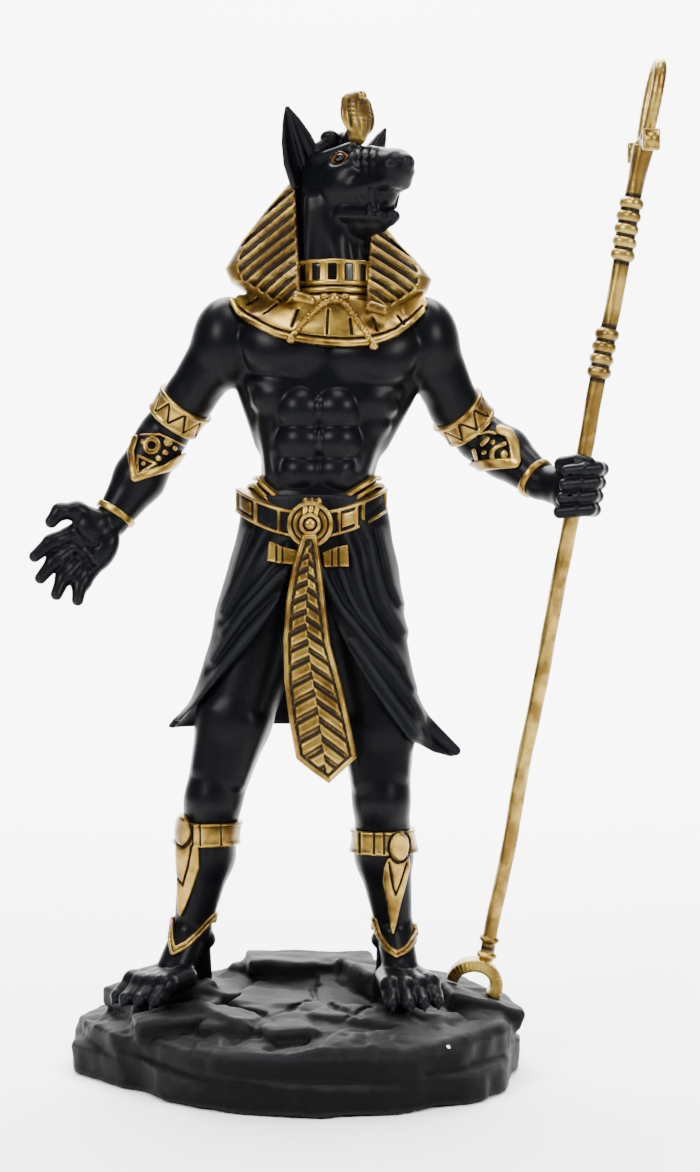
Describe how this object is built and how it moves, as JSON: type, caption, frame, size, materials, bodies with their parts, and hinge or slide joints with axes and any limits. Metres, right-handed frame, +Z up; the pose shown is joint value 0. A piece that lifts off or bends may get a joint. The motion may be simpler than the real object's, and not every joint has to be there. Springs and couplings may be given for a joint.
{
  "type": "anubis statue",
  "caption": "Standing jackal-headed Anubis in black and gold resin on a rock base, with a striped headdress, pleated kilt and an ankh-topped staff in one fist.",
  "frame": {"origin": "on the flat underside of the rock, under the middle of its outline", "axes": "+Z up the figure, -Y the way the chest faces, +X towards the hand that holds the staff"},
  "size_m": [0.2078, 0.1314, 0.3309],
  "materials": {
    "black_resin": "satin black paint over cast resin, with antique gold paint on the raised ornaments",
    "gold_paint": "antique gold paint with a dark wash in the recesses"
  },
  "bodies": {
    "root": {"figure": "black_resin", "staff": "gold_paint"}
  },
  "joints": []
}
